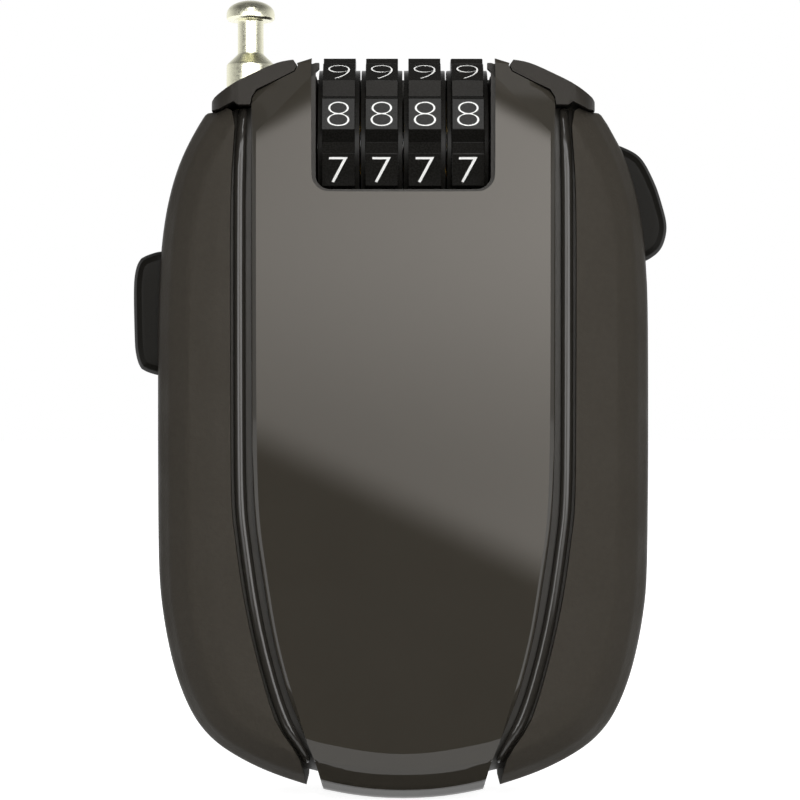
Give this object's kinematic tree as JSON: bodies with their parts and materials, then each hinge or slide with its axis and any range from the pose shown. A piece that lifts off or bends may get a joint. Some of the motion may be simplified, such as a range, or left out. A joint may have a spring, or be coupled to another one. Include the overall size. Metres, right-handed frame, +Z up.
{
  "type": "cable lock",
  "caption": "Retractable combination cable lock: oval case with number wheels, sprung cable reel, two buttons and a bolt and socket.",
  "frame": {"origin": "middle of the base that the upright case stands on, at half depth", "axes": "+Z up along the case's length, -Y out of the front panel, +X to the socket side"},
  "size_m": [0.0665, 0.026, 0.0999],
  "materials": {
    "case_black": "satin moulded plastic",
    "gloss_panel": "high gloss smoky brown-grey",
    "soft_grip": "matte soft-touch, fine grain",
    "gloss_trim": "gloss",
    "cap_black": "satin",
    "bright_steel": "polished, warm nickel",
    "spring_steel": "drawn",
    "zinc": "die cast zinc",
    "button_gloss": "gloss black",
    "brake_rubber": "matte",
    "reel_plastic": "moulded",
    "cable_sheath": "sheathed steel strand",
    "screw_steel": "blackened",
    "wheel_black": "satin black, white figures",
    "brass": "turned"
  },
  "bodies": {
    "case": {"front_cover": "case_black", "back_cover": "case_black", "front_panel": "gloss_panel", "left_grip": "soft_grip", "right_grip": "soft_grip", "left_trim": "gloss_trim", "right_trim": "gloss_trim", "left_cap": "cap_black", "right_cap": "cap_black", "outlet_bush": "bright_steel", "bolt_socket": "bright_steel", "wheel_cage": "case_black", "detent_spring": "spring_steel", "latch_spring": "spring_steel", "rewind_spring": "spring_steel", "lever_pin": "bright_steel", "power_spring": "spring_steel", "reel_axle": "bright_steel", "housing_screws": "screw_steel"},
    "latch": {"spindle": "zinc", "latch_slide": "zinc"},
    "release_button": {"release_button": "button_gloss"},
    "rewind_button": {"rewind_button": "button_gloss"},
    "brake": {"brake_lever": "zinc", "brake_pad": "brake_rubber"},
    "reel": {"reel": "reel_plastic", "reel_flange": "reel_plastic", "wound_cable": "cable_sheath"},
    "cable": {"cable_run": "cable_sheath", "cable_bolt": "bright_steel"},
    "code_slider": {"code_slider": "button_gloss"},
    "wheel_1": {"number_wheel_1": "wheel_black", "code_sleeve_1": "brass"},
    "wheel_2": {"number_wheel_2": "wheel_black", "code_sleeve_2": "brass"},
    "wheel_3": {"number_wheel_3": "wheel_black", "code_sleeve_3": "brass"},
    "wheel_4": {"number_wheel_4": "wheel_black", "code_sleeve_4": "brass"}
  },
  "joints": [
    {"name": "wheel_1_turn", "type": "hinge", "parent": "case", "child": "wheel_1", "pos_m": [-0.00795, 0, 0.0813], "axis": [1, 0, 0], "continuous": true, "deforming": ["detent_spring"]},
    {"name": "wheel_2_turn", "type": "hinge", "parent": "case", "child": "wheel_2", "pos_m": [-0.00265, 0, 0.0813], "axis": [1, 0, 0], "continuous": true, "deforming": ["detent_spring"]},
    {"name": "wheel_3_turn", "type": "hinge", "parent": "case", "child": "wheel_3", "pos_m": [0.00265, 0, 0.0813], "axis": [1, 0, 0], "continuous": true, "deforming": ["detent_spring"]},
    {"name": "wheel_4_turn", "type": "hinge", "parent": "case", "child": "wheel_4", "pos_m": [0.00795, 0, 0.0813], "axis": [1, 0, 0], "continuous": true, "deforming": ["detent_spring"]},
    {"name": "release_press", "type": "slide", "parent": "case", "child": "release_button", "axis": [-0.9711, 0, -0.2385], "range_m": [0, 0.00165], "stiffness_N_per_m": 900, "springref_m": -0.001},
    {"name": "latch_move", "type": "slide", "parent": "case", "child": "latch", "axis": [-1, 0, 0], "range_m": [0, 0.00161], "deforming": ["latch_spring"]},
    {"name": "rewind_press", "type": "slide", "parent": "case", "child": "rewind_button", "axis": [1, 0, 0], "range_m": [0, 0.002], "stiffness_N_per_m": 700, "springref_m": -0.001, "deforming": ["rewind_spring"]},
    {"name": "brake_lift", "type": "hinge", "parent": "case", "child": "brake", "pos_m": [-0.022, -0.005, 0.059], "axis": [0, 1, 0], "range_deg": [0, 17]},
    {"name": "cable_pull", "type": "slide", "parent": "case", "child": "cable", "axis": [0, 0, 1], "range_m": [0, 0.04]},
    {"name": "reel_turn", "type": "hinge", "parent": "case", "child": "reel", "pos_m": [0, 0, 0.038], "axis": [0, 1, 0], "range_deg": [0, 120]},
    {"name": "code_slide", "type": "slide", "parent": "case", "child": "code_slider", "axis": [1, 0, 0], "range_m": [0, 0.003]}
  ],
  "couplings": [
    {"joint": "latch_move", "follows": "release_press", "ratio": 0.97113},
    {"joint": "brake_lift", "follows": "rewind_press", "rad_per_m": 142.86},
    {"joint": "reel_turn", "follows": "cable_pull", "rad_per_m": 51.948}
  ]
}
